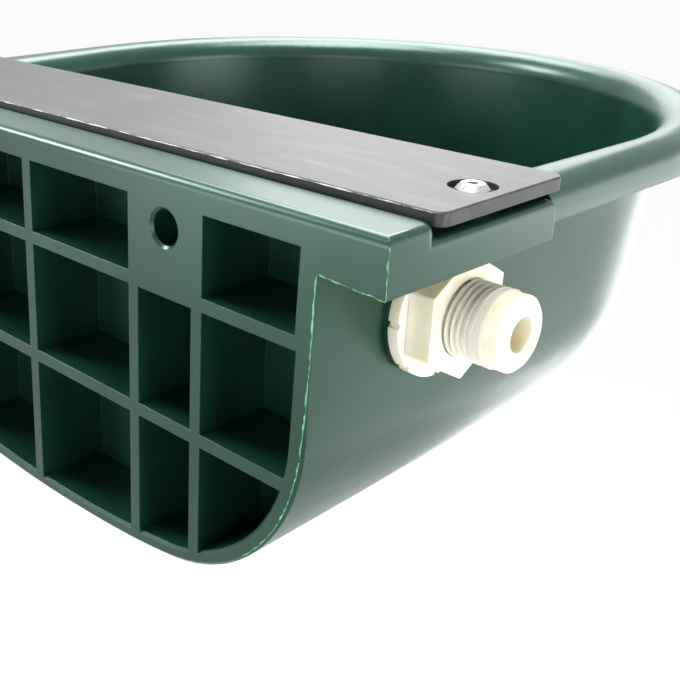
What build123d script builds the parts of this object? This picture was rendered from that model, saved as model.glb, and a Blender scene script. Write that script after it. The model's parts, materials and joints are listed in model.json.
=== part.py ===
# Livestock drinking bowl with a float valve, bolted to a wall by its ribbed back.
# Millimetres. X runs along the wall, the trough reaches towards -Y, Z is up.
# The origin is midway between the two bolt holes, on the back plane.
import os
from math import atan2, cos, degrees, radians, sin, tan

from build123d import *

os.makedirs("parts", exist_ok=True)

# ---------------------------------------------------------------- driving sizes
# bowl outside
bowl_width = 275.0
straight_depth = 133.0  # back plane to the centre of the round front
lip_height = 15.0  # above the bolt holes
wall = 3.2

# bolt holes and the ribs of the back
bolt_spacing = 128.0
bolt_hole_dia = 10.0
bolt_hole_chamfer = 0.8
rib = 4.0
boss_half_width = 15.0
cell_depth = 25.0
back_web = 3.5
top_band = 8.0
row_drops = (30.6, 70.8)  # lip down to the top of each level rib
cell_side_wall = 5.4
cell_floor_wall = 3.8
cell_draft = 0.8

# trough sections: at the back plane and at the start of the round front
section_top_drop = 9.5
back_taper = 3.6  # each side is this much nearer the middle at the back plane
back_wall_lean = 1.4
back_corner_radius = 60.0
back_depth = 121.5
back_crown = 15.0
mid_wall_lean = 5.8
mid_corner_radius = 58.0
mid_depth = 116.0
mid_crown = 14.0

# rolled rim
rim_drop = 10.4
rim_width = 18.5  # from the rim's outside to the trough's inner face
rim_flat = 0.1  # left between the two rounds of the crest
rim_wall = 3.2
rim_step = 0.8  # the side flanges stand out past the rim by this much

# rear lip, ledge under the cover and the boxed side flanges
lip_depth = 18.0
lip_corner = 4.0
lip_round = 2.6
ledge_drop = 3.9
ledge_round = 2.8
flange_drop = 14.6
flange_rise = 1.2  # the flange's underside climbs this much towards the trough
flange_length = 68.5
flange_wall = 3.2

# cover and its screws
cover_thickness = 3.6
cover_above_lip = 1.9
cover_gap = 0.5
cover_corner = 3.5
cover_edge = 0.4
cover_overhang = 2.5  # the cover reaches this far over the rim, past the flanges
screw_from_side = 9.6
screw_from_back = 44.2
screw_dia = 4.0
screw_length = 13.0
screw_head_dia = 8.6
screw_head_height = 2.4
screw_head_chamfer = 1.3
screw_point = 2.5
screw_socket_dia = 3.0
counterbore_dia = 12.4
counterbore_depth = 1.7
pad_dia = 9.0
screw_boss_dia = 9.0
screw_boss_length = 7.0
pilot_depth = 12.0

# inlet through the left wall
inlet_from_back = 45.3
inlet_below_lip = 32.5
shank_dia = 20.955  # G1/2 thread, over its crests
shank_lead_dia = 20.2
shank_lead = 4.9
shank_chamfer = 0.8
shank_groove = 0.8  # run-out of the thread, clear of the nut
shank_groove_dia = 18.6
shank_proud = 7.7  # past the bowl's side
inlet_bore_dia = 9.5
wall_hole_dia = 21.6
pad_inset = 18.5  # the bowl's side to the outer pad's face
pad_thickness = 5.8  # through the wall and both pads
outer_pad_dia = 35.6
inner_pad_dia = 32.4
washer_dia = 37.0
washer_thickness = 3.2
washer_notches = 8
notch_radius = 0.9
nut_flats = 30.0
nut_thickness = 7.4
nut_corner = 0.8
seal_dia = 30.0
seal_thickness = 2.0

# valve body, jet and plunger
collar_dia = 31.0
collar_thickness = 4.0
collar_flat = 13.6  # axis to each flat
barrel_dia = 19.0
barrel_reach = 39.2  # inner pad's face to the barrel's end
cylinder_dia = 13.0
cylinder_length = 23.0
outlet_width = 6.0
outlet_length = 6.0
outlet_from_end = 11.0
jet_length = 5.0
jet_nose_length = 4.0
jet_nose_dia = 7.0
jet_nose_taper = 14.0
jet_orifice_dia = 3.0
plunger_seal_dia = 9.0
plunger_seal_thickness = 3.0
plunger_seal_proud = 0.8
plunger_stem_dia = 8.0
plunger_stem_length = 6.0
seat_gap = 0.3

# lever, pin and rod
pivot_ahead = 5.8  # barrel's end to the pivot
pivot_drop = 12.0  # inlet axis down to the pivot
swing = 20.0  # degrees from hanging to shut
ear_gap = 10.6
ear_thickness = 3.0
ear_radius = 5.2
ear_root_back = 18.0
ear_root_drop = 4.5
pin_dia = 4.0
pin_head_dia = 7.0
pin_head = 1.4
clip_dia = 8.0
clip_thickness = 0.8
pin_tail = 2.4
hub_radius = 4.6
lever_width = 9.0
lever_web_radius = 3.0
tab_near = 5.0
tab_thickness = 5.0
tab_above = 4.0
socket_length = 26.0
socket_half_height = 4.6
socket_bore_depth = 15.0
adjuster_dia = 5.0
adjuster_length = 17.0
adjuster_head_dia = 8.0
adjuster_head = 3.0
adjuster_slot = 1.0
adjuster_nut_flats = 8.0
adjuster_nut_thickness = 3.4
rod_dia = 5.0
rod_nut_flats = 9.0
rod_nut_thickness = 4.0

# float
float_start = 41.0  # from the pivot, along the rod
float_length = 88.0
float_width = 28.0
float_above_rod = 10.0
float_below_rod = 22.0
float_seam_drop = 8.0
float_wall = 1.8
float_round = 6.0
float_boss_dia = 11.0
float_boss_length = 16.0
float_nut_thickness = 3.4
rod_into_float = 14.0

# clearances
running = 0.05
seating = 0.02
joint_gap = 0.3

# ---------------------------------------------------------------- derived places
half_width = bowl_width / 2
rim_half_width = half_width - rim_step
lip_z = lip_height
ledge_z = lip_z - ledge_drop
flange_z = lip_z - flange_drop
section_top_z = lip_z - section_top_drop
mid_half_width = rim_half_width - rim_width + wall
back_half_width = mid_half_width - back_taper
rim_radius = (rim_width - rim_flat) / 2
hollow_width = half_width - flange_wall - mid_half_width
hollow_x = mid_half_width + hollow_width / 2
cells_top_z = lip_z - top_band
water_back = cell_depth + back_web
bolt_x = bolt_spacing / 2
inner_rib_x = bolt_x - boss_half_width + rib / 2
outer_rib_x = bolt_x + boss_half_width - rib / 2
channel_round = (rim_width - rim_wall - wall - rim_flat) / 2
cover_top_z = lip_z + cover_above_lip
cover_bottom_z = cover_top_z - cover_thickness
cover_back = lip_depth + cover_gap
cover_depth = flange_length + cover_overhang - cover_back
screw_x = half_width - screw_from_side
screw_seat_z = cover_top_z - counterbore_depth
screw_places = ((screw_x, -screw_from_back), (-screw_x, -screw_from_back))
inlet_z = lip_z - inlet_below_lip
outer_pad_face = half_width - pad_inset
inner_pad_face = outer_pad_face - pad_thickness
shank_end = half_width + shank_proud
barrel_end = inner_pad_face - barrel_reach
nut_face = outer_pad_face + washer_thickness
nut_end = nut_face + nut_thickness
collar_face = inner_pad_face - seal_thickness
cylinder_start = barrel_end + cylinder_length
jet_tip = cylinder_start - jet_length - jet_nose_length
pivot_x = -(barrel_end - pivot_ahead)
pivot_z = inlet_z - pivot_drop
travel = pivot_drop * sin(radians(swing))
arm = Location((pivot_x, -inlet_from_back, pivot_z), (0, swing, 0))
past = 1.0  # how far a cutting shape runs beyond the face it opens


# ---------------------------------------------------------------- shared shapes
def inlet_plane(from_centre):
    """Plane across the inlet axis, facing out through the left wall."""
    return Plane(origin=(-from_centre, -inlet_from_back, inlet_z), x_dir=(0, 1, 0), z_dir=(-1, 0, 0))


def on_arm(plane):
    """A plane given for a level arm at the origin, set where the arm hangs."""
    return Plane(arm * plane.location)


def trough_section(half_top, lean, corner, depth, crown, top_z=section_top_z):
    """Outline across the trough: leaning walls, round corners and a crowned floor."""
    floor_z = lip_z - depth
    floor_radius = (half_top**2 + crown**2) / (2 * crown)
    arc_centre_z = floor_z + floor_radius
    slope = tan(radians(lean))
    # The corner's centre lies one corner radius inside both the wall and the floor.
    steep = 1 + slope**2
    reach = floor_radius - corner
    base = half_top - corner / cos(radians(lean)) - slope * (top_z - arc_centre_z)
    drop = (base * slope + (steep * reach**2 - base**2) ** 0.5) / steep
    corner_x = base - slope * drop
    corner_z = arc_centre_z - drop
    floor_angle = degrees(atan2(-drop, corner_x))

    def on_corner(angle):
        return (corner_x + corner * cos(radians(angle)), corner_z + corner * sin(radians(angle)))

    def on_floor(angle):
        return (floor_radius * cos(radians(angle)), arc_centre_z + floor_radius * sin(radians(angle)))

    with BuildSketch() as outline:
        with BuildLine():
            Polyline((0, top_z), (half_top, top_z), on_corner(-lean))
            ThreePointArc(on_corner(-lean), on_corner((floor_angle - lean) / 2), on_corner(floor_angle))
            ThreePointArc(on_floor(floor_angle), on_floor((floor_angle - 90) / 2), on_floor(-90))
            mirror(about=Plane.YZ)
        make_face()
    return outline.sketch


def round_front_plan(half_back, half_front):
    """Outline seen from above: straight sides and a half-round front."""
    front_corner = (half_front, -straight_depth)
    eighth = radians(45)
    with BuildSketch() as outline:
        with BuildLine():
            Polyline((0, 0), (half_back, 0), front_corner)
            ThreePointArc(
                front_corner,
                (half_front * cos(eighth), -straight_depth - half_front * sin(eighth)),
                (0, -straight_depth - half_front),
            )
            mirror(about=Plane.YZ)
        make_face()
    return outline.sketch


def trough(inset, rise=0.0):
    """The trough's solid, inset by a wall and raised above the top of its section."""
    back_outline = trough_section(
        back_half_width - inset,
        back_wall_lean,
        back_corner_radius - inset,
        back_depth - inset,
        back_crown,
    )
    middle_outline = trough_section(
        mid_half_width - inset,
        mid_wall_lean,
        mid_corner_radius - inset,
        mid_depth - inset,
        mid_crown,
    )
    plan = round_front_plan(back_half_width - inset, mid_half_width - inset)
    with BuildPart() as body:
        with BuildSketch(Plane.XZ):
            add(back_outline)
        with BuildSketch(Plane.XZ.offset(straight_depth)):
            add(middle_outline)
        loft(ruled=True)
        with BuildSketch(Plane.XZ.offset(straight_depth)):
            add(middle_outline)
            split(bisect_by=Plane.YZ)
        revolve(axis=Axis((0, -straight_depth, 0), (0, 0, -1)), revolution_arc=180)
        if rise:
            with BuildSketch(Plane.XY.offset(section_top_z)):
                add(plan)
            extrude(amount=rise)
    return body.part


# ---------------------------------------------------------------- bowl
trough_outside = trough(0)
trough_water = trough(wall, rise=section_top_drop + past)
with BuildPart() as behind_cover:
    add(trough_water)
    split(bisect_by=Plane.XZ.offset(water_back))
rim_plan = round_front_plan(rim_half_width, rim_half_width)
rim_hollow_plan = round_front_plan(rim_half_width - rim_wall, rim_half_width - rim_wall)
mouth_plan = round_front_plan(mid_half_width, mid_half_width)

# Hollow of the rolled rim, open below.
with BuildPart() as rim_hollow:
    with BuildSketch(Plane.XY.offset(lip_z - rim_drop - past)):
        add(rim_hollow_plan)
        add(mouth_plan, mode=Mode.SUBTRACT)
    extrude(amount=rim_drop + past - rim_wall)
    roof_edges = rim_hollow.edges().group_by(Axis.Z)[-1]
    fillet([e for e in roof_edges if e.center().Y < -past], channel_round)

# Front of the bowl: round trough with the rolled rim, from the flanges forward.
with BuildPart() as bowl_front:
    with BuildSketch(Plane.XY.offset(lip_z - rim_drop)):
        add(rim_plan)
    extrude(amount=rim_drop)
    crest_edges = bowl_front.edges().group_by(Axis.Z)[-1]
    fillet([e for e in crest_edges if e.center().Y < -past], rim_radius)
    add(rim_hollow.part, mode=Mode.SUBTRACT)
    add(trough_outside)
    add(trough_water, mode=Mode.SUBTRACT)
    mouth_edges = bowl_front.edges(Select.LAST).group_by(Axis.Z)[-1]
    fillet([e for e in mouth_edges if e.center().Y < -past], rim_radius)
    split(bisect_by=Plane.XZ.offset(flange_length))

cells_plan = trough_section(
    back_half_width - cell_side_wall,
    back_wall_lean,
    back_corner_radius - cell_side_wall,
    back_depth - cell_floor_wall,
    back_crown,
    top_z=cells_top_z,
)

with BuildPart() as bowl:
    # Slab of the rear lip and the side flanges, its underside rising to the trough.
    with BuildSketch(Plane.XZ):
        with BuildLine():
            Polyline(
                (0, lip_z),
                (half_width, lip_z),
                (half_width, flange_z),
                (back_half_width, flange_z + flange_rise),
                (0, flange_z + flange_rise),
            )
            mirror(about=Plane.YZ)
        make_face()
    extrude(amount=flange_length)
    front_corners = bowl.edges().filter_by(Axis.Z).group_by(Axis.Y)[0]
    fillet(front_corners, rim_step)

    # Ledge under the cover, then the rounded lip behind it.
    with BuildSketch(Plane.XY.offset(ledge_z)):
        with Locations((0, -(lip_depth + flange_length) / 2)):
            Rectangle(bowl_width, flange_length - lip_depth)
    extrude(amount=ledge_drop, mode=Mode.SUBTRACT)
    lip_corners = bowl.edges().filter_by(Axis.Z).filter_by_position(Axis.Y, -lip_depth - past, -lip_depth + past)
    fillet(lip_corners, lip_corner)
    fillet(bowl.edges().group_by(Axis.Z)[-1], lip_round)
    ledge_edges = bowl.edges().filter_by(Axis.Y).filter_by_position(Axis.Z, ledge_z - past / 2, ledge_z + past / 2)
    fillet(ledge_edges, ledge_round)

    # Hollow of each side flange, open below.
    with BuildSketch(Plane.XY.offset(ledge_z - flange_wall)):
        with Locations((hollow_x, -flange_length / 2), (-hollow_x, -flange_length / 2)):
            Rectangle(hollow_width, flange_length - 2 * flange_wall)
    extrude(amount=-flange_drop, mode=Mode.SUBTRACT)

    # Trough walls behind the rim, and the pad that the inlet washer seats on.
    add(trough_outside)
    with BuildSketch(inlet_plane(outer_pad_face)):
        Circle(outer_pad_dia / 2)
    extrude(amount=-(outer_pad_face - inner_pad_face))
    split(bisect_by=Plane.XZ.offset(flange_length), keep=Keep.BOTTOM)
    add(behind_cover.part, mode=Mode.SUBTRACT)

    # Screw pads on the ledge, with their bosses below it.
    with BuildSketch(Plane.XY.offset(cover_bottom_z)):
        with Locations(*screw_places):
            Circle(pad_dia / 2)
    extrude(amount=ledge_z - flange_wall - cover_bottom_z)
    with BuildSketch(Plane.XY.offset(ledge_z)):
        with Locations(*screw_places):
            Circle(screw_boss_dia / 2)
    extrude(amount=-(flange_wall + screw_boss_length))

    # Pad inside the wall, and the inlet hole through both pads.
    with BuildSketch(inlet_plane(inner_pad_face)):
        Circle(inner_pad_dia / 2)
    extrude(amount=wall)
    with BuildSketch(inlet_plane(outer_pad_face + past)):
        Circle(wall_hole_dia / 2)
    extrude(amount=-(outer_pad_face - inner_pad_face + 2 * past), mode=Mode.SUBTRACT)

    # Rolled rim and the round front, its crest cut back under the cover's front edge.
    add(bowl_front.part)
    with BuildSketch(Plane.XY.offset(cover_bottom_z - joint_gap)):
        with Locations((0, -flange_length - (cover_overhang + cover_gap) / 2)):
            Rectangle(bowl_width, cover_overhang + cover_gap)
    extrude(amount=rim_drop, mode=Mode.SUBTRACT)

    # Grid of open cells in the back, between ribs and bolt bosses.
    with BuildSketch(Plane.XZ):
        add(cells_plan)
        with Locations(*[(x, 0) for x in (0, inner_rib_x, -inner_rib_x, outer_rib_x, -outer_rib_x)]):
            Rectangle(rib, 2 * back_depth, mode=Mode.SUBTRACT)
        with Locations(*[(0, lip_z - drop - rib / 2) for drop in row_drops]):
            Rectangle(bowl_width, rib, mode=Mode.SUBTRACT)
        with Locations((bolt_x, lip_z), (-bolt_x, lip_z)):
            Rectangle(2 * boss_half_width, 2 * row_drops[0], mode=Mode.SUBTRACT)
    extrude(amount=cell_depth, taper=cell_draft, mode=Mode.SUBTRACT)

    # Bolt holes through the bosses.
    with BuildSketch(Plane.XZ):
        with Locations((bolt_x, 0), (-bolt_x, 0)):
            Circle(bolt_hole_dia / 2)
    extrude(amount=water_back + past, mode=Mode.SUBTRACT)
    hole_rims = bowl.edges().filter_by(GeomType.CIRCLE).filter_by_position(Axis.Y, -past / 2, past / 2)
    chamfer(hole_rims, bolt_hole_chamfer)

    # Pilot holes for the cover screws.
    with BuildSketch(Plane.XY.offset(cover_bottom_z)):
        with Locations(*screw_places):
            Circle(screw_dia / 2 + seating)
    extrude(amount=-pilot_depth, mode=Mode.SUBTRACT)

# ---------------------------------------------------------------- cover
with BuildPart() as cover:
    with BuildSketch(Plane.XY.offset(cover_bottom_z)):
        with Locations((0, -cover_back - cover_depth / 2)):
            RectangleRounded(bowl_width, cover_depth, cover_corner)
    extrude(amount=cover_thickness)
    chamfer(cover.edges().group_by(Axis.Z)[-1], cover_edge)
    with Locations((screw_x, -screw_from_back, cover_top_z), (-screw_x, -screw_from_back, cover_top_z)):
        CounterBoreHole(screw_dia / 2 + joint_gap, counterbore_dia / 2, counterbore_depth)

with BuildPart() as cover_screws:
    with BuildSketch(Plane.XY.offset(screw_seat_z)):
        with Locations(*screw_places):
            Circle(screw_head_dia / 2)
    extrude(amount=screw_head_height)
    chamfer(cover_screws.edges().group_by(Axis.Z)[-1], screw_head_chamfer)
    with BuildSketch(Plane.XY.offset(screw_seat_z)):
        with Locations(*screw_places):
            Circle(screw_dia / 2)
    extrude(amount=-screw_length)
    chamfer(cover_screws.edges().group_by(Axis.Z)[0], length=screw_point, length2=screw_dia / 4)
    with BuildSketch(Plane.XY.offset(screw_seat_z + screw_head_height)):
        with Locations(*screw_places):
            RegularPolygon(screw_socket_dia / 2, 6)
    extrude(amount=-screw_head_height / 2, mode=Mode.SUBTRACT)

# ---------------------------------------------------------------- inlet fixing
with BuildPart() as inlet_washer:
    with BuildSketch(inlet_plane(outer_pad_face)):
        Circle(washer_dia / 2)
        Circle(shank_dia / 2 + joint_gap, mode=Mode.SUBTRACT)
        with PolarLocations(washer_dia / 2, washer_notches):
            Circle(notch_radius, mode=Mode.SUBTRACT)
    extrude(amount=washer_thickness)

with BuildPart() as lock_nut:
    with BuildSketch(inlet_plane(nut_face)):
        RegularPolygon(nut_flats / 2, 6, major_radius=False, rotation=30)
        Circle(shank_dia / 2 + running, mode=Mode.SUBTRACT)
    extrude(amount=nut_thickness)
    corners = lock_nut.edges().filter_by(Axis.X)
    fillet(corners, nut_corner)

with BuildPart() as inlet_seal:
    with BuildSketch(inlet_plane(collar_face)):
        Circle(seal_dia / 2)
        Circle(shank_dia / 2 + joint_gap, mode=Mode.SUBTRACT)
    extrude(amount=seal_thickness)

# ---------------------------------------------------------------- valve body
with BuildPart() as valve_body:
    # Collar with two flats, barrel and threaded shank on the inlet axis.
    with BuildSketch(inlet_plane(collar_face)):
        Circle(collar_dia / 2)
        Rectangle(collar_dia, 2 * collar_flat, mode=Mode.INTERSECT)
    extrude(amount=-collar_thickness)
    with BuildSketch(inlet_plane(collar_face)):
        Circle(barrel_dia / 2)
    extrude(amount=-(collar_face - barrel_end))
    with BuildSketch(inlet_plane(collar_face)):
        Circle(shank_dia / 2)
    extrude(amount=shank_end - shank_lead - collar_face)
    with BuildSketch(inlet_plane(shank_end - shank_lead)):
        Circle(shank_lead_dia / 2)
    extrude(amount=shank_lead)
    chamfer(valve_body.edges().group_by(Axis.X)[0], shank_chamfer)
    with BuildSketch(inlet_plane(nut_end)):
        Circle(shank_dia / 2 + past)
        Circle(shank_groove_dia / 2, mode=Mode.SUBTRACT)
    extrude(amount=shank_groove, mode=Mode.SUBTRACT)

    # Two ears from the barrel down to the lever's pivot.
    ear_root = (-barrel_end - ear_root_back + ear_radius, inlet_z - ear_root_drop)
    for side in (-1, 1):
        with BuildSketch(Plane.XZ.offset(inlet_from_back + side * (ear_gap + ear_thickness) / 2)):
            with BuildLine():
                ear_spine = Line(ear_root, (pivot_x, pivot_z))
            SlotCenterPoint(ear_spine @ 0.5, ear_spine @ 1, 2 * ear_radius)
        extrude(amount=ear_thickness / 2, both=True)

    # Waterway: inlet bore, plunger cylinder, outlet slots and the pin's hole.
    with BuildSketch(inlet_plane(shank_end + past)):
        Circle(inlet_bore_dia / 2)
    extrude(amount=-(shank_end + past - cylinder_start), mode=Mode.SUBTRACT)
    with BuildSketch(inlet_plane(cylinder_start)):
        Circle(cylinder_dia / 2)
    extrude(amount=-(cylinder_start + pivot_x + past), mode=Mode.SUBTRACT)
    with BuildSketch(Plane.XY.offset(inlet_z)):
        with Locations((-barrel_end - outlet_from_end - outlet_length / 2, -inlet_from_back)):
            Rectangle(outlet_length, outlet_width)
    extrude(amount=-barrel_dia, mode=Mode.SUBTRACT)
    with BuildSketch(Plane.XZ.offset(inlet_from_back)):
        with Locations((pivot_x, pivot_z)):
            Circle(pin_dia / 2 + seating)
    extrude(amount=barrel_dia, both=True, mode=Mode.SUBTRACT)

with BuildPart() as jet:
    with BuildSketch(inlet_plane(cylinder_start)):
        Circle(cylinder_dia / 2 - seating)
    extrude(amount=-jet_length)
    with BuildSketch(inlet_plane(cylinder_start - jet_length)):
        Circle(jet_nose_dia / 2)
    extrude(amount=-jet_nose_length, taper=jet_nose_taper)
    with BuildSketch(inlet_plane(cylinder_start)):
        Circle(jet_orifice_dia / 2)
    extrude(amount=-(jet_length + jet_nose_length), mode=Mode.SUBTRACT)
    with BuildSketch(inlet_plane(cylinder_start)):
        Circle(inlet_bore_dia / 2)
    extrude(amount=-jet_length / 2, mode=Mode.SUBTRACT)

# ---------------------------------------------------------------- plunger, drawn open
seal_face = jet_tip - seat_gap - travel
plunger_front = seal_face - plunger_seal_proud
plunger_end = -(pivot_x + travel - adjuster_dia / 2 - joint_gap)
with BuildPart() as plunger:
    with BuildSketch(inlet_plane(plunger_end)):
        Circle(plunger_stem_dia / 2)
    extrude(amount=plunger_stem_length)
    with BuildSketch(inlet_plane(plunger_end + plunger_stem_length)):
        Circle(cylinder_dia / 2 - running)
    extrude(amount=plunger_front - plunger_end - plunger_stem_length)
    with BuildSketch(inlet_plane(plunger_front)):
        Circle(plunger_seal_dia / 2 + seating)
    extrude(amount=-(plunger_seal_thickness - plunger_seal_proud), mode=Mode.SUBTRACT)

with BuildPart() as plunger_seal:
    with BuildSketch(inlet_plane(seal_face)):
        Circle(plunger_seal_dia / 2)
    extrude(amount=-plunger_seal_thickness)

# ---------------------------------------------------------------- hinge pin
ear_outside = inlet_from_back + ear_gap / 2 + ear_thickness
ear_inside = inlet_from_back - ear_gap / 2 - ear_thickness
with BuildPart() as hinge_pin:
    with BuildSketch(Plane.XZ.offset(ear_inside - pin_tail)):
        with Locations((pivot_x, pivot_z)):
            Circle(pin_dia / 2)
    extrude(amount=ear_outside - ear_inside + pin_tail)
    with BuildSketch(Plane.XZ.offset(ear_outside)):
        with Locations((pivot_x, pivot_z)):
            Circle(pin_head_dia / 2)
    extrude(amount=pin_head)

with BuildPart() as pin_clip:
    with BuildSketch(Plane.XZ.offset(ear_inside - clip_thickness)):
        with Locations((pivot_x, pivot_z)):
            Circle(clip_dia / 2)
            Circle(pin_dia / 2 + seating, mode=Mode.SUBTRACT)
        with Locations((pivot_x, pivot_z - clip_dia / 2)):
            Rectangle(pin_dia / 2, clip_dia / 2, mode=Mode.SUBTRACT)
    extrude(amount=clip_thickness)

# ---------------------------------------------------------------- lever, drawn hanging
# On the arm's planes, the first axis runs along the rod and the pivot is the origin.
tab_top = pivot_drop + tab_above
socket_bore_start = socket_length - socket_bore_depth
with BuildPart() as float_lever:
    with BuildSketch(on_arm(Plane.XZ)):
        Circle(hub_radius)
        with Locations((socket_length / 2, 0)):
            Rectangle(socket_length, 2 * socket_half_height)
        with Locations((tab_near + tab_thickness / 2, tab_top / 2)):
            Rectangle(tab_thickness, tab_top)
        inner_corner = vertices().sort_by_distance((tab_near + tab_thickness, socket_half_height))[0]
        fillet(inner_corner, lever_web_radius)
    extrude(amount=lever_width / 2, both=True)
    with BuildSketch(on_arm(Plane.XZ)):
        Circle(hub_radius)
    extrude(amount=ear_gap / 2 - joint_gap, both=True)
    with BuildSketch(on_arm(Plane.XZ)):
        Circle(pin_dia / 2 + running)
    extrude(amount=ear_gap, both=True, mode=Mode.SUBTRACT)
    with BuildSketch(on_arm(Plane.YZ.offset(socket_bore_start))):
        Circle(rod_dia / 2 + seating)
    extrude(amount=socket_bore_depth + past, mode=Mode.SUBTRACT)
    with BuildSketch(on_arm(Plane.YZ.offset(tab_near - past))):
        with Locations((0, pivot_drop)):
            Circle(adjuster_dia / 2 + seating)
    extrude(amount=tab_thickness + 2 * past, mode=Mode.SUBTRACT)

# Screw whose round tip pushes the plunger, with its lock nut behind the tab.
with BuildPart() as adjusting_screw:
    with BuildSketch(on_arm(Plane.YZ)):
        with Locations((0, pivot_drop)):
            Circle(adjuster_dia / 2)
    extrude(amount=adjuster_length)
    with Locations(arm * Location((0, 0, pivot_drop))):
        Sphere(adjuster_dia / 2)
    with BuildSketch(on_arm(Plane.YZ.offset(adjuster_length))):
        with Locations((0, pivot_drop)):
            Circle(adjuster_head_dia / 2)
    extrude(amount=adjuster_head)
    with BuildSketch(on_arm(Plane.YZ.offset(adjuster_length + adjuster_head))):
        with Locations((0, pivot_drop)):
            Rectangle(adjuster_head_dia, adjuster_slot)
    extrude(amount=-adjuster_head / 2, mode=Mode.SUBTRACT)

with BuildPart() as adjusting_nut:
    with BuildSketch(on_arm(Plane.YZ.offset(tab_near + tab_thickness))):
        with Locations((0, pivot_drop)):
            RegularPolygon(adjuster_nut_flats / 2, 6, major_radius=False)
            Circle(adjuster_dia / 2 + seating, mode=Mode.SUBTRACT)
    extrude(amount=adjuster_nut_thickness)

# ---------------------------------------------------------------- rod and its nuts
with BuildPart() as float_rod:
    with BuildSketch(on_arm(Plane.YZ.offset(socket_bore_start + joint_gap))):
        Circle(rod_dia / 2)
    extrude(amount=float_start + rod_into_float - socket_bore_start - joint_gap)

with BuildPart() as rod_nut:
    with BuildSketch(on_arm(Plane.YZ.offset(socket_length))):
        RegularPolygon(rod_nut_flats / 2, 6, major_radius=False)
        Circle(rod_dia / 2 + seating, mode=Mode.SUBTRACT)
    extrude(amount=rod_nut_thickness)

with BuildPart() as float_nut:
    with BuildSketch(on_arm(Plane.YZ.offset(float_start - float_nut_thickness))):
        RegularPolygon(rod_nut_flats / 2, 6, major_radius=False)
        Circle(rod_dia / 2 + seating, mode=Mode.SUBTRACT)
    extrude(amount=float_nut_thickness)


# ---------------------------------------------------------------- float
def float_shell(height):
    """One open half of the float, from the seam up or down by its height."""
    middle = float_start + float_length / 2
    seam_centre = (arm * Location((middle, 0, -float_seam_drop))).position
    far_centre = (arm * Location((middle, 0, height - float_seam_drop))).position
    with BuildPart() as shell:
        with BuildSketch(on_arm(Plane.XY.offset(-float_seam_drop))):
            with Locations((middle, 0)):
                RectangleRounded(float_length, float_width, float_round)
        extrude(amount=height)
        far_edges = shell.faces().sort_by_distance(far_centre)[0].edges()
        fillet(far_edges, float_round - float_wall)
        offset(amount=-float_wall, openings=shell.faces().sort_by_distance(seam_centre)[0])
    return shell.part


upper_half = float_shell(float_seam_drop + float_above_rod)
with BuildPart() as float_upper_shell:
    add(upper_half)
    with BuildSketch(on_arm(Plane.YZ.offset(float_start))):
        Circle(float_boss_dia / 2)
    extrude(amount=float_boss_length)
    with BuildSketch(on_arm(Plane.YZ.offset(float_start - past))):
        Circle(rod_dia / 2 + seating)
    extrude(amount=past + rod_into_float + joint_gap, mode=Mode.SUBTRACT)

lower_half = float_shell(float_seam_drop - float_below_rod)
with BuildPart() as float_lower_shell:
    add(lower_half)

# ---------------------------------------------------------------- files
pieces = {
    "bowl": bowl,
    "cover": cover,
    "cover_screws": cover_screws,
    "inlet_washer": inlet_washer,
    "lock_nut": lock_nut,
    "inlet_seal": inlet_seal,
    "valve_body": valve_body,
    "jet": jet,
    "plunger": plunger,
    "plunger_seal": plunger_seal,
    "hinge_pin": hinge_pin,
    "pin_clip": pin_clip,
    "float_lever": float_lever,
    "adjusting_screw": adjusting_screw,
    "adjusting_nut": adjusting_nut,
    "float_rod": float_rod,
    "rod_nut": rod_nut,
    "float_nut": float_nut,
    "float_upper_shell": float_upper_shell,
    "float_lower_shell": float_lower_shell,
}
for name, piece in pieces.items():
    piece.part.label = name
    export_step(piece.part, f"parts/{name}.step")
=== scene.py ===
import json
import math

import bmesh
import bpy
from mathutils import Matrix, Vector


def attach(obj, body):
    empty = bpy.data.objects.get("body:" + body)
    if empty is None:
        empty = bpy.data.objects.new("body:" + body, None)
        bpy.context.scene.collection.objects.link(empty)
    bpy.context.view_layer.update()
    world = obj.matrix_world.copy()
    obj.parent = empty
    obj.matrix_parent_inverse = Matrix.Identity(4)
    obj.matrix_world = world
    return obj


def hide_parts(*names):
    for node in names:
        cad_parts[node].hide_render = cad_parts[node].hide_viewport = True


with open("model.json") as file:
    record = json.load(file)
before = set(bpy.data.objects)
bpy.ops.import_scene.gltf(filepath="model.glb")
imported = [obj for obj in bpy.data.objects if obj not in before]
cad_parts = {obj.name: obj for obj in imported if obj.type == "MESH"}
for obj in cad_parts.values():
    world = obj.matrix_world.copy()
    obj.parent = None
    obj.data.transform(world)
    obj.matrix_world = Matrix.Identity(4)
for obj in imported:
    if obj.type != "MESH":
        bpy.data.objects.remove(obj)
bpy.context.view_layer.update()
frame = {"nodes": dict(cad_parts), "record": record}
print("frame loaded:", len(frame["nodes"]), "parts")

mm = 0.001
weldGap = 0.002 * mm  # points of one corner lie closer than this
scene = bpy.context.scene
record = frame["record"]
bodyOf = {node: body for body, nodes in record["behaviour"]["bodies"].items() for node in nodes}
slotOf = {part["node"]: part["material_slot"] for part in record["subparts"]}


# sRGB hex to the linear values that shaders want
def linearColour(hexCode):
    channels = [int(hexCode[i:i + 2], 16) / 255 for i in (1, 3, 5)]
    return [c / 12.92 if c <= 0.04045 else ((c + 0.055) / 1.055) ** 2.4 for c in channels] + [1.0]


# one node with its settings and links; a key is an input's name or number, else a property
def addNode(tree, kind, settings=None, links=None):
    node = tree.nodes.new(kind)
    for key, value in (settings or {}).items():
        if isinstance(key, int) or key in node.inputs:
            node.inputs[key].default_value = value
        else:
            setattr(node, key, value)
    for key, socket in (links or {}).items():
        tree.links.new(socket, node.inputs[key])
    return node


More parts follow.
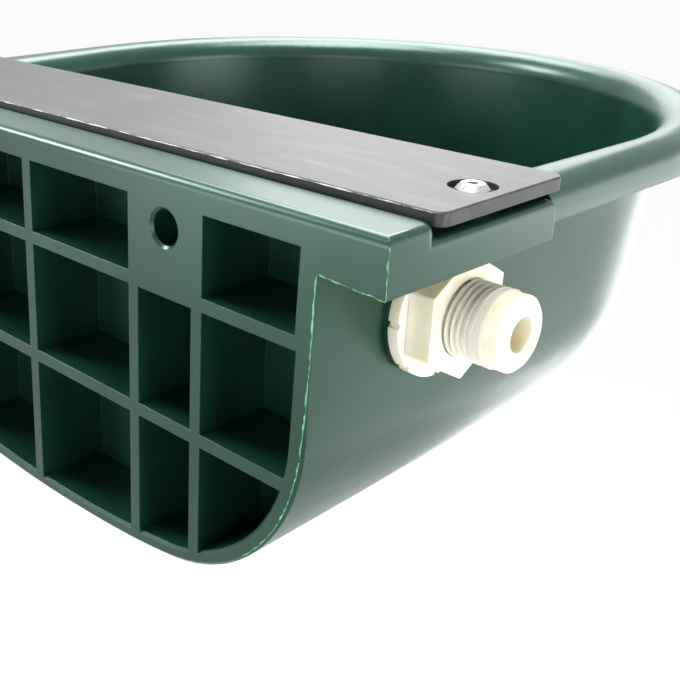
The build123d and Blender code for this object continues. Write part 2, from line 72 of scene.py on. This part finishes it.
def newMaterial(name):
    material = bpy.data.materials.new(name)
    material.use_nodes = True
    tree = material.node_tree
    tree.nodes.clear()
    shader = addNode(tree, "ShaderNodeBsdfPrincipled")
    addNode(tree, "ShaderNodeOutputMaterial", links={"Surface": shader.outputs["BSDF"]})
    place = addNode(tree, "ShaderNodeTexCoord").outputs["Object"]
    return material, tree, shader, place


# plastics: polypropylene and nylon, injection moulded

greenLook = {
    "dark": "#0d2e21", "light": "#133a2b",  # flow mottle of the masterbatch
    "sheen": "#ddfff6",  # the dye shows through the skin and tints its shine
    "mottleMm": 30, "grainMm": 0.9, "grainDepthMm": 0.02, "grainShows": 0.3, "edgeMm": 0.35,
    "smooth": 0.25, "rough": 0.32, "ior": 1.5, "glowMm": 0,
}
flashLook = {
    "dark": "#2b7a50", "light": "#74c99a",  # the same plastic, thin enough to pass light
    "sheen": "#ddfff6",
    "mottleMm": 5, "grainMm": 0.5, "grainDepthMm": 0.01, "grainShows": 0.2, "edgeMm": 0,
    "smooth": 0.3, "rough": 0.4, "ior": 1.5, "glowMm": 1.5,
}
blackLook = {
    "dark": "#1c1d1f", "light": "#28292b", "sheen": "#ffffff",  # carbon black leaves only a grey sheen
    "mottleMm": 26, "grainMm": 0.8, "grainDepthMm": 0.02, "grainShows": 0.3, "edgeMm": 0.3,
    "smooth": 0.42, "rough": 0.5, "ior": 1.5, "glowMm": 0,
}
# pale grey ridge on the cover's rear edge: part scrape, part painted highlight
scrapeAndHighlightLook = {
    "dark": "#9b9b9c", "light": "#e4e4e4", "sheen": "#ffffff",  # pale partly because black plastic whitens where it is scraped, partly a painted highlight on the edge
    "mottleMm": 4, "grainMm": 0.4, "grainDepthMm": 0.02, "grainShows": 0.4, "edgeMm": 0,
    "smooth": 0.5, "rough": 0.7, "ior": 1.5, "glowMm": 0,
}
nylonLook = {
    "dark": "#efe9cf", "light": "#f7f3e2", "sheen": "#ffffff",  # undyed nylon is a warm white
    "mottleMm": 6, "grainMm": 0.5, "grainDepthMm": 0.01, "grainShows": 0.2, "edgeMm": 0.3,
    "smooth": 0.28, "rough": 0.38, "ior": 1.53, "glowMm": 4,
}
acetalLook = {
    "dark": "#d6d5cf", "light": "#e4e3de", "sheen": "#ffffff",  # acetal is greyer than nylon and smoother
    "mottleMm": 5, "grainMm": 0.5, "grainDepthMm": 0.01, "grainShows": 0.2, "edgeMm": 0,
    "smooth": 0.25, "rough": 0.34, "ior": 1.48, "glowMm": 0,
}
floatLook = {
    "dark": "#cfd2cf", "light": "#dcdedb", "sheen": "#ffffff",  # polythene is pale and dull
    "mottleMm": 16, "grainMm": 1.2, "grainDepthMm": 0.03, "grainShows": 0.3, "edgeMm": 0.3,
    "smooth": 0.4, "rough": 0.55, "ior": 1.5, "glowMm": 0,
}
rubberLook = {
    "dark": "#141414", "light": "#1e1e1e", "sheen": "#ffffff",  # nitrile rubber is black and nearly matt
    "mottleMm": 4, "grainMm": 0.6, "grainDepthMm": 0.02, "grainShows": 0.3, "edgeMm": 0,
    "smooth": 0.6, "rough": 0.75, "ior": 1.52, "glowMm": 0,
}


tintStops = (0.3, 0.7)  # most of the noise lies between these
bevelSamples = 4
glowShare = 0.5
glowReach = (1.0, 0.85, 0.35)  # light travels furthest inside at the warm end


# noise of one real size drives the tint and the gloss
def mottleSkin(tree, shader, place, look, sizeMm, detail):
    flow = addNode(tree, "ShaderNodeTexNoise", {"Scale": 1 / (sizeMm * mm), "Detail": detail},
                   {"Vector": place})
    tint = addNode(tree, "ShaderNodeValToRGB", links={"Fac": flow.outputs["Fac"]})
    for stop, at, colour in zip(tint.color_ramp.elements, tintStops, (look["dark"], look["light"])):
        stop.position = at
        stop.color = linearColour(colour)
    gloss = addNode(tree, "ShaderNodeMapRange", {"To Min": look["smooth"], "To Max": look["rough"]},
                    {"Value": flow.outputs["Fac"]})
    tree.links.new(tint.outputs["Color"], shader.inputs["Base Color"])
    tree.links.new(gloss.outputs["Result"], shader.inputs["Roughness"])


# A moulded skin takes its satin from the tool; flow leaves a slow change of tint and gloss.
def mouldedPlastic(name, look):
    material, tree, shader, place = newMaterial(name)
    mottleSkin(tree, shader, place, look, look["mottleMm"], 4.0)
    grain = addNode(tree, "ShaderNodeTexNoise", {"Scale": 1 / (look["grainMm"] * mm), "Detail": 2.0},
                    {"Vector": place})
    bump = addNode(tree, "ShaderNodeBump", {
        "Strength": look["grainShows"], "Distance": look["grainDepthMm"] * mm},
        {"Height": grain.outputs["Fac"]})
    if look["edgeMm"]:  # moulded edges are never knife sharp
        edges = addNode(tree, "ShaderNodeBevel", {"Radius": look["edgeMm"] * mm, "samples": bevelSamples})
        tree.links.new(edges.outputs["Normal"], bump.inputs["Normal"])
    tree.links.new(bump.outputs["Normal"], shader.inputs["Normal"])
    shader.inputs["IOR"].default_value = look["ior"]
    shader.inputs["Specular Tint"].default_value = linearColour(look["sheen"])
    if look["glowMm"]:
        shader.inputs["Subsurface Weight"].default_value = glowShare
        shader.inputs["Subsurface Radius"].default_value = glowReach
        shader.inputs["Subsurface Scale"].default_value = look["glowMm"] * mm
    return material


# Scuffs and pale specks of a cover that gets knocked, mostly along its length.
scuffLook = {
    "pale": "#c9cacc", "lengthMm": 30, "widthMm": 6, "speckMm": 2.2, "shows": 0.05,
    "smearDetail": 5.0, "smearTwist": 0.6, "smearFrom": 0.5, "smearFull": 0.78,
    "speckDetail": 1.0, "speckFrom": 0.72, "speckFull": 0.8,
}


def addScuffs(material, look):
    tree = material.node_tree
    shader = next(node for node in tree.nodes if node.type == "BSDF_PRINCIPLED")
    skin = shader.inputs["Base Color"].links[0].from_socket
    place = addNode(tree, "ShaderNodeTexCoord").outputs["Object"]
    long = addNode(tree, "ShaderNodeMapping", {"Scale": (look["widthMm"] / look["lengthMm"], 1, 1)},
                   {"Vector": place})
    smears = addNode(tree, "ShaderNodeTexNoise", {
        "Scale": 1 / (look["widthMm"] * mm), "Detail": look["smearDetail"], "Distortion": look["smearTwist"]},
        {"Vector": long.outputs[0]})
    specks = addNode(tree, "ShaderNodeTexNoise", {
        "Scale": 1 / (look["speckMm"] * mm), "Detail": look["speckDetail"]}, {"Vector": place})
    smeared = addNode(tree, "ShaderNodeMapRange", {
        "From Min": look["smearFrom"], "From Max": look["smearFull"]}, {"Value": smears.outputs["Fac"]})
    speckled = addNode(tree, "ShaderNodeMapRange", {
        "From Min": look["speckFrom"], "From Max": look["speckFull"]}, {"Value": specks.outputs["Fac"]})
    worn = addNode(tree, "ShaderNodeMath", {"operation": "MAXIMUM"},
                   {0: smeared.outputs[0], 1: speckled.outputs[0]})
    share = addNode(tree, "ShaderNodeMath", {"operation": "MULTIPLY", 1: look["shows"]}, {0: worn.outputs[0]})
    # 6 and 7 are the colour inputs of a Mix node, and 2 is its colour output
    mixed = addNode(tree, "ShaderNodeMix", {"data_type": "RGBA", 7: linearColour(look["pale"])},
                    {"Factor": share.outputs[0], 6: skin})
    tree.links.new(mixed.outputs[2], shader.inputs["Base Color"])


# stainless steel, turned and polished

steelLook = {"dark": "#b9babc", "light": "#d3d4d6", "lineMm": 0.5, "smooth": 0.16, "rough": 0.3}


def turnedSteel(name, look):
    # turning marks: fine changes of gloss, drawn coarser than the real ones so that they show
    material, tree, shader, place = newMaterial(name)
    mottleSkin(tree, shader, place, look, look["lineMm"], 3.0)
    shader.inputs["Metallic"].default_value = 1.0
    return material


finishes = {
    "bowl_plastic": mouldedPlastic("green_polypropylene_moulded", greenLook),
    "cover_plastic": mouldedPlastic("black_polypropylene_moulded", blackLook),
    "white_nylon": mouldedPlastic("white_nylon_moulded", nylonLook),
    "jet_plastic": mouldedPlastic("acetal_moulded", acetalLook),
    "float_plastic": mouldedPlastic("polythene_moulded", floatLook),
    "seal_rubber": mouldedPlastic("nitrile_rubber", rubberLook),
    "stainless": turnedSteel("stainless_steel_turned", steelLook),
}
addScuffs(finishes["cover_plastic"], scuffLook)
flashFinish = mouldedPlastic("green_polypropylene_flash", flashLook)
scrapeAndHighlightFinish = mouldedPlastic("black_polypropylene_scraped_and_painted_highlight", scrapeAndHighlightLook)
print("materials made:", len(finishes))


# meshes and node trees

def placePiece(name, mesh, material):
    piece = bpy.data.objects.new(name, mesh)
    scene.collection.objects.link(piece)
    mesh.materials.clear()
    mesh.materials.append(material)
    return piece


def weldedShape(node):
    shape = bmesh.new()
    shape.from_mesh(frame["nodes"][node].data)
    bmesh.ops.remove_doubles(shape, verts=shape.verts, dist=weldGap)
    return shape


# a part's shape with its points merged and its curved faces smooth
def smoothCopy(node, name, edgeAngle=28):
    shape = weldedShape(node)
    mesh = bpy.data.meshes.new(name)
    shape.to_mesh(mesh)
    shape.free()
    for old in ("custom_normal", "UVMap"):
        layer = mesh.attributes.get(old)
        if layer:
            mesh.attributes.remove(layer)
    mesh.shade_smooth()
    mesh.set_sharp_from_angle(angle=math.radians(edgeAngle))
    piece = placePiece(name, mesh, finishes[slotOf[node]])
    weights = piece.modifiers.new("flat_faces_stay_flat", "WEIGHTED_NORMAL")
    weights.keep_sharp = True
    return piece


def newTree(name, inputs):
    tree = bpy.data.node_groups.new(name, "GeometryNodeTree")
    tree.interface.new_socket("Geometry", in_out="OUTPUT", socket_type="NodeSocketGeometry")
    tree.interface.new_socket("Geometry", in_out="INPUT", socket_type="NodeSocketGeometry")
    for label, kind in inputs:
        tree.interface.new_socket(label, in_out="INPUT", socket_type="NodeSocket" + kind)
    start = addNode(tree, "NodeGroupInput")
    return tree, start.outputs


def endTree(tree, geometry, material):
    real = addNode(tree, "GeometryNodeRealizeInstances", links={0: geometry})
    painted = addNode(tree, "GeometryNodeSetMaterial", links={
        "Geometry": real.outputs[0], "Material": material})
    addNode(tree, "NodeGroupOutput", links={0: painted.outputs[0]})


# runs a tree on a line or an empty mesh and keeps the result as a plain mesh
def runTree(name, tree, values, line=None):
    carrier = bpy.data.objects.new(name, line or bpy.data.meshes.new(name))
    scene.collection.objects.link(carrier)
    modifier = carrier.modifiers.new("tree", "NODES")
    modifier.node_group = tree
    for socket in tree.interface.items_tree:
        if socket.in_out == "INPUT" and socket.name in values:
            modifier[socket.identifier] = values[socket.name]
    made = carrier.evaluated_get(bpy.context.evaluated_depsgraph_get())
    mesh = bpy.data.meshes.new_from_object(made)
    bpy.data.objects.remove(carrier)
    piece = bpy.data.objects.new(name, mesh)
    scene.collection.objects.link(piece)
    return piece


def settle(piece, body, slot, *nodes):
    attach(piece, body)
    if nodes:
        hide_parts(*nodes)


# moulded and turned parts

for node in frame["nodes"]:
    if node != "valve_body":
        settle(smoothCopy(node, node + "_finished"), bodyOf[node], slotOf[node], node)
print("parts smoothed")


# inlet: threaded shank

inletLook = {
    "axisY": -45.3 * mm, "axisZ": -17.5 * mm,
    "pitch": 1.814 * mm,  # 14 turns to the inch
    "rootRadius": 9.3 * mm, "crestRadius": 10.45 * mm, "crestWidth": 0.35 * mm,
    "from": 129.0 * mm, "to": 140.2 * mm, "stepsPerTurn": 72,
    "foot": 0.05 * mm,  # the ridge's foot sits this deep in the root
    "shankFrom": 112.0 * mm, "leadFrom": 140.25 * mm,  # between these the shank is cut to its root
}


def threadTree():
    tree, given = newTree("threadRidge", [
        ("Pitch", "Float"), ("Turns", "Float"), ("Root Radius", "Float"), ("Ridge Height", "Float"),
        ("Crest Width", "Float"), ("Steps Per Turn", "Int"), ("Material", "Material")])
    height = addNode(tree, "ShaderNodeMath", {"operation": "MULTIPLY"}, {
        0: given["Pitch"], 1: given["Turns"]})
    path = addNode(tree, "GeometryNodeCurveSpiral", links={
        "Resolution": given["Steps Per Turn"], "Rotations": given["Turns"],
        "Start Radius": given["Root Radius"], "End Radius": given["Root Radius"],
        "Height": height.outputs[0]})
    upright = addNode(tree, "GeometryNodeSetCurveNormal", {"mode": "Z_UP"}, {"Curve": path.outputs[0]})
    ridge = addNode(tree, "GeometryNodeCurvePrimitiveQuadrilateral", {"mode": "TRAPEZOID", "Offset": 0.0}, {
        "Height": given["Ridge Height"], "Bottom Width": given["Pitch"], "Top Width": given["Crest Width"]})
    half = addNode(tree, "ShaderNodeMath", {"operation": "MULTIPLY", 1: 0.5}, {0: given["Ridge Height"]})
    out = addNode(tree, "ShaderNodeCombineXYZ", links={"Y": half.outputs[0]})
    moved = addNode(tree, "GeometryNodeTransform", links={
        "Geometry": ridge.outputs[0], "Translation": out.outputs[0]})
    turned = addNode(tree, "GeometryNodeTransform", {"Rotation": (0, 0, math.radians(90))}, {
        "Geometry": moved.outputs[0]})
    swept = addNode(tree, "GeometryNodeCurveToMesh", {"Fill Caps": True}, {
        "Curve": upright.outputs[0], "Profile Curve": turned.outputs[0]})
    endTree(tree, swept.outputs[0], given["Material"])
    return tree


turns = (inletLook["to"] - inletLook["from"]) / inletLook["pitch"]
thread = runTree("inlet_thread_ridge", threadTree(), {
    "Pitch": inletLook["pitch"], "Turns": turns, "Root Radius": inletLook["rootRadius"] - inletLook["foot"],
    "Ridge Height": inletLook["crestRadius"] - inletLook["rootRadius"] + inletLook["foot"],
    "Crest Width": inletLook["crestWidth"], "Steps Per Turn": inletLook["stepsPerTurn"],
    "Material": finishes["white_nylon"]})
for vertex in thread.data.vertices:
    x, y, z = vertex.co
    vertex.co = (-inletLook["from"] - z, inletLook["axisY"] + y, inletLook["axisZ"] + x)
settle(thread, "bowl_body", "white_nylon")

valve = smoothCopy("valve_body", "valve_body_finished")
for vertex in valve.data.vertices:
    x, y, z = vertex.co
    y, z = y - inletLook["axisY"], z - inletLook["axisZ"]
    radius = math.hypot(y, z)
    if -inletLook["leadFrom"] < x < -inletLook["shankFrom"] and radius > inletLook["rootRadius"]:
        shrink = inletLook["rootRadius"] / radius
        vertex.co = (x, inletLook["axisY"] + y * shrink, inletLook["axisZ"] + z * shrink)
settle(valve, "bowl_body", "white_nylon", "valve_body")
print("inlet threaded")


# flash along the bowl's parting edges, and a pale ridge on the cover's rear edge that is partly scrape and
# partly a painted highlight

flashRidgeLook = {"stepMm": 0.6, "wanderMm": 0.9, "waveMm": 2.2, "thickMm": 0.62, "seed": 4.0}
scrapeAndHighlightRidgeLook = {"stepMm": 0.8, "wanderMm": 0.45, "waveMm": 5.0, "thickMm": 0.45, "seed": 9.0}


# lone edges of a part's mesh, picked by where they lie and which way their faces look
def edgeLines(node, name, wanted):
    shape = weldedShape(node)
    points, lines, numbers = [], [], {}
    for edge in shape.edges:
        if len(edge.link_faces) == 2 and wanted(
                (edge.verts[0].co + edge.verts[1].co) / (2 * mm), [face.normal for face in edge.link_faces]):
            for vertex in edge.verts:
                if vertex.index not in numbers:
                    numbers[vertex.index] = len(points)
                    points.append(vertex.co.copy())
            lines.append([numbers[vertex.index] for vertex in edge.verts])
    shape.free()
    mesh = bpy.data.meshes.new(name)
    mesh.from_pydata(points, lines, [])
    return mesh


beadSides = 8
# the line thins out where the noise is low
swellRange = {"From Min": 0.42, "From Max": 0.64, "To Min": 0.1, "To Max": 1.0}


def ridgeTree():
    tree, given = newTree("raggedRidge", [
        ("Step", "Float"), ("Wander", "Float"), ("Wave", "Float"), ("Thickness", "Float"), ("Seed", "Float"),
        ("Material", "Material")])
    line = addNode(tree, "GeometryNodeMeshToCurve", links={"Mesh": given["Geometry"]})
    even = addNode(tree, "GeometryNodeResampleCurve", {"mode": "LENGTH"}, {
        "Curve": line.outputs[0], "Length": given["Step"]})
    pitch = addNode(tree, "ShaderNodeMath", {"operation": "DIVIDE", 0: 1.0}, {1: given["Wave"]})
    waves = addNode(tree, "ShaderNodeTexNoise", {"noise_dimensions": "4D", "Detail": 3.0}, {
        "W": given["Seed"], "Scale": pitch.outputs[0]})
    centred = addNode(tree, "ShaderNodeVectorMath", {"operation": "SUBTRACT", 1: (0.5, 0.5, 0.5)}, {
        0: waves.outputs["Color"]})
    push = addNode(tree, "ShaderNodeVectorMath", {"operation": "SCALE"}, {
        0: centred.outputs[0], "Scale": given["Wander"]})
    ragged = addNode(tree, "GeometryNodeSetPosition", links={
        "Geometry": even.outputs[0], "Offset": push.outputs[0]})
    swell = addNode(tree, "ShaderNodeMapRange", swellRange, {"Value": waves.outputs["Fac"]})
    half = addNode(tree, "ShaderNodeMath", {"operation": "MULTIPLY", 1: 0.5}, {0: given["Thickness"]})
    bead = addNode(tree, "GeometryNodeCurvePrimitiveCircle", {"Resolution": beadSides}, {
        "Radius": half.outputs[0]})
    swept = addNode(tree, "GeometryNodeCurveToMesh", {"Fill Caps": True}, {
        "Curve": ragged.outputs[0], "Profile Curve": bead.outputs[0], "Scale": swell.outputs["Result"]})
    endTree(tree, swept.outputs[0], given["Material"])
    return tree


def raggedRidge(name, lines, look, material):
    return runTree(name, ridgeTree(), {
        "Step": look["stepMm"] * mm, "Wander": look["wanderMm"] * mm, "Wave": look["waveMm"] * mm,
        "Thickness": look["thickMm"] * mm, "Seed": look["seed"], "Material": material}, lines)


# millimetres for places, and parts of a unit normal for how far a face looks that way
partingPlace = {
    "backPlane": -0.05, "backFacing": 0.9, "sideFrom": -96, "belowLip": 13.5,
    "outward": -0.25, "downward": -0.8, "flangeFrom": -113,
}
scrapeAndHighlightPlace = {"rearFrom": -18.7, "above": 16.3, "backFacing": 0.9}


def isPartingEdge(middle, normals):
    place = partingPlace
    onBack = middle.y > place["backPlane"] and max(normal.y for normal in normals) > place["backFacing"]
    onSide = middle.x < place["sideFrom"] and middle.z < place["belowLip"]
    outward = min(normal.x for normal in normals) < place["outward"]
    underFlange = min(normal.z for normal in normals) < place["downward"] and middle.x < place["flangeFrom"]
    return onBack and onSide and (outward or underFlange)


def isScrapeAndHighlightEdge(middle, normals):
    place = scrapeAndHighlightPlace
    return (middle.y > place["rearFrom"] and middle.z > place["above"]
            and max(normal.y for normal in normals) > place["backFacing"])


parting = edgeLines("bowl", "flash_line", isPartingEdge)
settle(raggedRidge("bowl_flash", parting, flashRidgeLook, flashFinish), "bowl_body", "bowl_plastic")
# the pale ridge on the cover's rear top edge is partly a scrape and partly a painted highlight
scraped = edgeLines("cover", "scrape_and_painted_highlight_line", isScrapeAndHighlightEdge)
settle(raggedRidge("cover_rear_edge_scrape_and_painted_highlight", scraped, scrapeAndHighlightRidgeLook, scrapeAndHighlightFinish), "bowl_body", "cover_plastic")
print("flash and scraped edge added")


# studio

studioLook = {
    "floorDrop": 0.8, "floorSize": 60.0, "floorColour": "#f2f2f0", "floorWhite": 0.96,
    "ambient": 0.02, "whiteColour": "#ffffff", "aim": (0, -0.1, -0.03),
    "lamps": (
        # name, place, size, watts
        ("top_softbox", (0.05, -0.1, 1.47), 0.8, 42),
        ("high_front_softbox", (0.61, -0.71, 1.2), 0.8, 24),
        ("wall_softbox", (-1.5, -0.1, -0.03), 0.8, 18),
        ("right_lamp", (1.1, 0.42, 0.85), 0.4, 15),
        ("rear_softbox", (0.75, 1.2, -0.03), 0.8, 11),
        ("camera_side_softbox", (-0.75, 1.2, -0.03), 0.8, 8),
        ("low_front_softbox", (0.18, -1.12, -0.63), 0.8, 6),
        ("low_side_softbox", (-0.52, -1.0, -0.63), 0.8, 1.5),
        ("front_softbox", (0.66, -1.25, 0.67), 0.8, 4),
        ("front_left_softbox", (-0.75, -1.4, -0.03), 0.8, 5.6),
        ("cover_sheen_softbox", (0.74, -1.38, 0.33), 0.7, 1.2),
    ),
}
cameraLook = {
    "place": (-0.2723, 0.1823, 0.0866), "heading": 228.98, "down": 21.83, "lensMm": 57.6,
    "shiftX": 0.264, "shiftY": -0.0394, "clipStart": 0.01,
}


def seenDirectly(tree):
    path = addNode(tree, "ShaderNodeLightPath")
    mirrored = addNode(tree, "ShaderNodeMath", {"operation": "MAXIMUM"}, {
        0: path.outputs["Is Camera Ray"], 1: path.outputs["Is Glossy Ray"]})
    return addNode(tree, "ShaderNodeMath", {"operation": "MAXIMUM"}, {
        0: mirrored.outputs[0], 1: path.outputs["Is Transmission Ray"]}).outputs[0]


world = bpy.data.worlds.new("white_studio")
world.use_nodes = True
scene.world = world
world.node_tree.nodes.clear()
fill = addNode(world.node_tree, "ShaderNodeBackground", {
    "Color": linearColour(studioLook["whiteColour"]), "Strength": studioLook["ambient"]})
white = addNode(world.node_tree, "ShaderNodeBackground", {
    "Color": linearColour(studioLook["whiteColour"]), "Strength": 1.0})
both = addNode(world.node_tree, "ShaderNodeMixShader", links={
    0: seenDirectly(world.node_tree), 1: fill.outputs[0], 2: white.outputs[0]})
addNode(world.node_tree, "ShaderNodeOutputWorld", links={"Surface": both.outputs[0]})

floorMaterial = bpy.data.materials.new("pale_floor_card")
floorMaterial.use_nodes = True
tree = floorMaterial.node_tree
tree.nodes.clear()
card = addNode(tree, "ShaderNodeBsdfDiffuse", {"Color": linearColour(studioLook["floorColour"])})
glow = addNode(tree, "ShaderNodeEmission", {"Color": linearColour(studioLook["whiteColour"])})
share = addNode(tree, "ShaderNodeMath", {"operation": "MULTIPLY", 1: studioLook["floorWhite"]}, {
    0: seenDirectly(tree)})
mixed = addNode(tree, "ShaderNodeMixShader", links={
    0: share.outputs[0], 1: card.outputs[0], 2: glow.outputs[0]})
addNode(tree, "ShaderNodeOutputMaterial", links={"Surface": mixed.outputs[0]})

half = studioLook["floorSize"] / 2
drop = -studioLook["floorDrop"]
floorMesh = bpy.data.meshes.new("floor")
floorMesh.from_pydata([(-half, -half, drop), (half, -half, drop), (half, half, drop), (-half, half, drop)],
                      [], [(0, 1, 2, 3)])
placePiece("floor", floorMesh, floorMaterial)

for name, place, size, watts in studioLook["lamps"]:
    lamp = bpy.data.lights.new(name, "AREA")
    lamp.size = size
    lamp.energy = watts
    holder = bpy.data.objects.new(name, lamp)
    holder.location = place
    aim = Vector(studioLook["aim"]) - holder.location
    holder.rotation_euler = aim.to_track_quat("-Z", "Y").to_euler()
    scene.collection.objects.link(holder)

lens = bpy.data.cameras.new("camera")
lens.lens = cameraLook["lensMm"]
lens.shift_x = cameraLook["shiftX"]
lens.shift_y = cameraLook["shiftY"]
lens.clip_start = cameraLook["clipStart"]
camera = bpy.data.objects.new("camera", lens)
camera.location = cameraLook["place"]
camera.rotation_euler = (math.radians(90 - cameraLook["down"]), 0, math.radians(cameraLook["heading"]))
scene.collection.objects.link(camera)
scene.camera = camera
scene.view_settings.view_transform = "Standard"
print("studio set")
